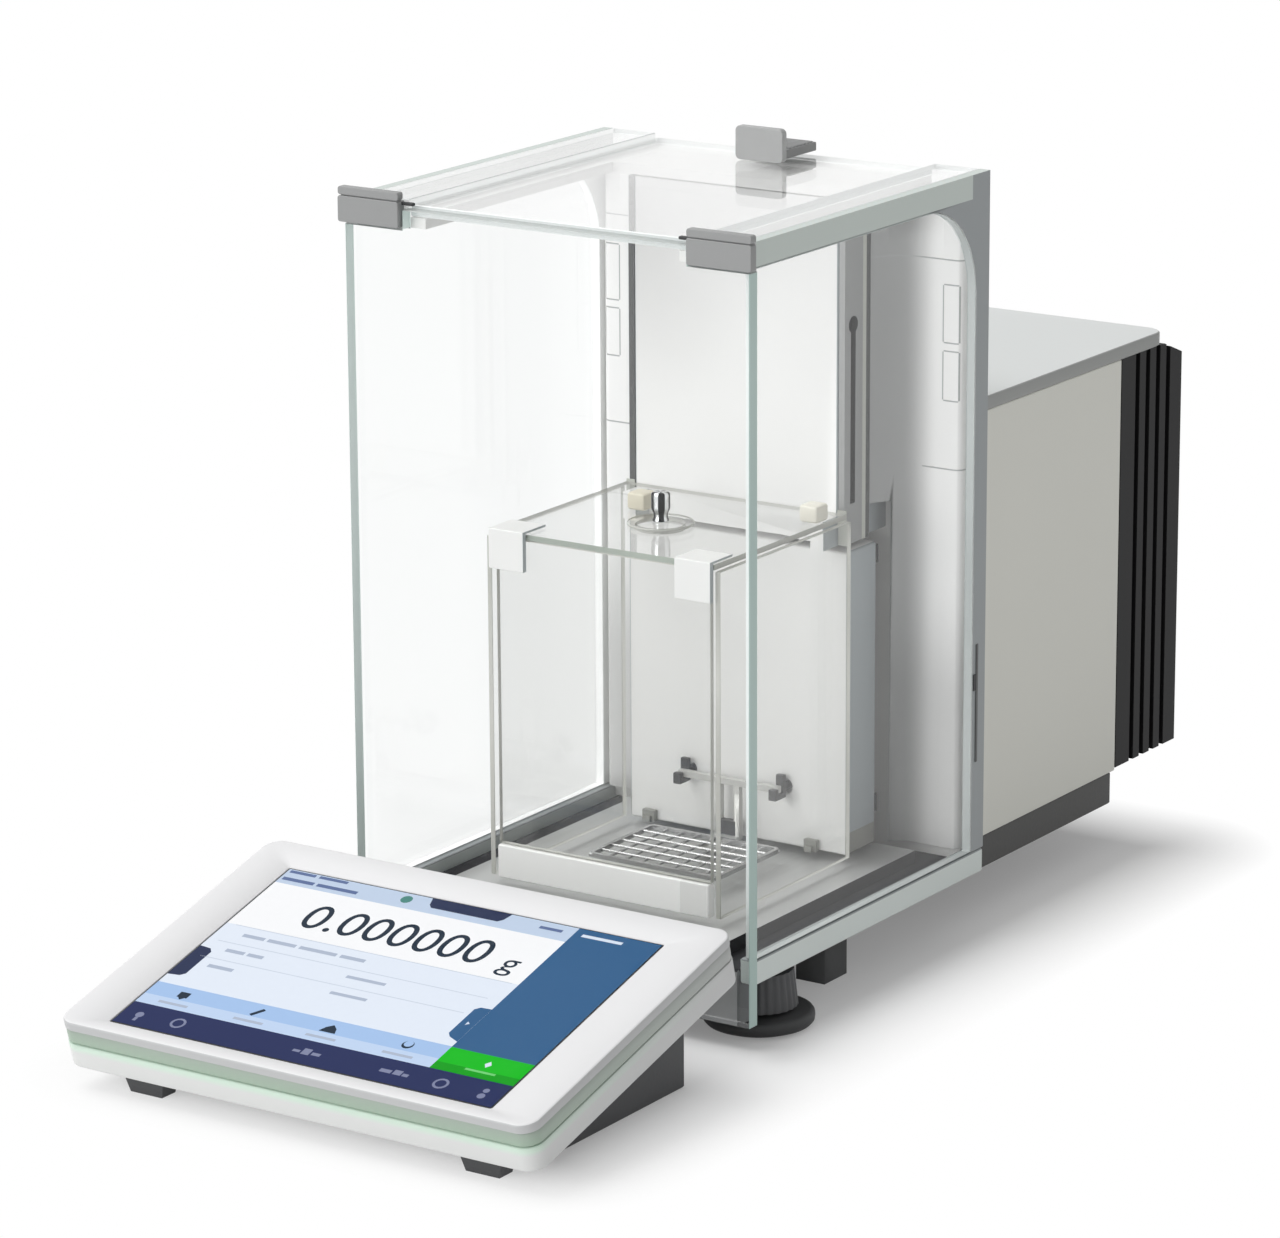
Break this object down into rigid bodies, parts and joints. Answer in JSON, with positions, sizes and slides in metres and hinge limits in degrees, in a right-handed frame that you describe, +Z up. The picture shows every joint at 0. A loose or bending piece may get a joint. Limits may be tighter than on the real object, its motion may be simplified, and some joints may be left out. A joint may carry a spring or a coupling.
{
  "type": "analytical balance",
  "caption": "Laboratory balance with a sliding glass draft shield, an inner shield over a hanging grid pan, a rear housing with a finned heat sink and a tilted touch terminal.",
  "frame": {"origin": "on the table under the middle of the bounding box", "axes": "+X to the operator's right, +Y from the terminal to the heat sink, +Z up"},
  "size_m": [0.194, 0.4754, 0.2946],
  "materials": {
    "white": "satin white moulding",
    "pale_rail": "pale satin moulding",
    "base_grey": "matt dark grey paint on a casting",
    "tray_metal": "satin metal tray",
    "rubber": "matt black",
    "black_plastic": "matt black",
    "cover_paint": "satin warm grey paint",
    "top_paint": "satin pale grey paint",
    "sink_black": "black anodised",
    "aluminium": "machined",
    "steel": "polished wire and plate",
    "dark_steel": "dark steel",
    "chrome": "polished",
    "glass": "clear float glass",
    "handle_grey": "satin mid grey",
    "clip_beige": "translucent beige",
    "copper": "enamelled winding",
    "board_green": "solder mask",
    "term_white": "smooth near-white",
    "screen": "glossy touch panel",
    "light_green": "pale green light strip",
    "stand_grey": "matt dark grey",
    "lcd": "display module"
  },
  "bodies": {
    "chassis": {"base_casting": "base_grey", "rear_foot": "rubber", "lower_rail_right": "pale_rail", "lower_rail_left": "pale_rail", "floor_tray": "tray_metal", "rear_wall": "white", "wing_cover_right": "white", "wing_cover_left": "white", "tower_cover": "white", "accessory_rail_right": "aluminium", "accessory_rail_left": "aluminium", "rear_box": "white", "inner_front_glass": "glass", "inner_sill": "white", "inner_top_glass": "glass", "inner_corner_right": "white", "inner_corner_left": "white", "top_clip_right": "clip_beige", "top_clip_left": "clip_beige", "front_glass": "glass", "top_frame": "white", "side_cover_right": "cover_paint", "side_cover_left": "cover_paint", "top_cover": "top_paint", "heat_sink": "sink_black", "plinth": "base_grey", "dc_inlet": "black_plastic", "data_sockets": "steel", "cell_base": "aluminium", "magnet_pot": "dark_steel", "main_board": "board_green", "terminal_bottom_shell": "term_white", "status_light": "light_green", "terminal_top_shell": "term_white", "touch_glass": "screen", "lcd_module": "lcd", "terminal_stand": "stand_grey"},
    "door_right": {"door_glass_right": "glass", "door_frame_right": "pale_rail", "door_strip_right": "glass", "door_handle_right": "handle_grey"},
    "door_left": {"door_glass_left": "glass", "door_frame_left": "pale_rail", "door_strip_left": "glass", "door_handle_left": "handle_grey"},
    "top_door": {"top_glass": "glass", "top_handle": "handle_grey"},
    "inner_right": {"inner_door_right": "glass"},
    "inner_left": {"inner_door_left": "glass"},
    "lid": {"lid_disc": "glass", "lid_knob": "chrome"},
    "pan": {"pan_grid": "steel", "pan_hanger": "steel", "load_arms": "dark_steel"},
    "lever": {"lever_beam": "aluminium", "coil": "copper"},
    "adjuster": {"adjust_weight": "chrome", "weight_lifter": "aluminium"},
    "foot_right": {"foot_screw_right": "rubber"},
    "foot_left": {"foot_screw_left": "rubber"}
  },
  "joints": [
    {"name": "door_right_slide", "type": "slide", "parent": "chassis", "child": "door_right", "axis": [0, 1, 0], "range_m": [0, 0.13]},
    {"name": "door_left_slide", "type": "slide", "parent": "chassis", "child": "door_left", "axis": [0, 1, 0], "range_m": [0, 0.13]},
    {"name": "top_door_slide", "type": "slide", "parent": "chassis", "child": "top_door", "axis": [0, 1, 0], "range_m": [0, 0.13]},
    {"name": "inner_right_slide", "type": "slide", "parent": "chassis", "child": "inner_right", "axis": [0, 1, 0], "range_m": [0, 0.085]},
    {"name": "inner_left_slide", "type": "slide", "parent": "chassis", "child": "inner_left", "axis": [0, 1, 0], "range_m": [0, 0.085]},
    {"name": "lid_lift", "type": "slide", "parent": "chassis", "child": "lid", "axis": [0, 0, 1], "range_m": [0, 0.05]},
    {"name": "pan_travel", "type": "slide", "parent": "chassis", "child": "pan", "axis": [0, 0, 1], "range_m": [-0.0005, 0], "stiffness_N_per_m": 2000, "springref_m": 0.001},
    {"name": "lever_turn", "type": "hinge", "parent": "chassis", "child": "lever", "pos_m": [0, 0.112, 0.057], "axis": [1, 0, 0], "range_deg": [0, 2.7]},
    {"name": "weight_lift", "type": "slide", "parent": "chassis", "child": "adjuster", "axis": [0, 0, 1], "range_m": [-0.004, 0]},
    {"name": "foot_right_turn", "type": "hinge", "parent": "chassis", "child": "foot_right", "pos_m": [0.065, -0.052, 0], "axis": [0, 0, 1], "range_deg": [-720, 720]},
    {"name": "foot_left_turn", "type": "hinge", "parent": "chassis", "child": "foot_left", "pos_m": [-0.065, -0.052, 0], "axis": [0, 0, 1], "range_deg": [-720, 720]}
  ],
  "couplings": [
    {"joint": "lever_turn", "follows": "pan_travel", "rad_per_m": -90.909}
  ]
}
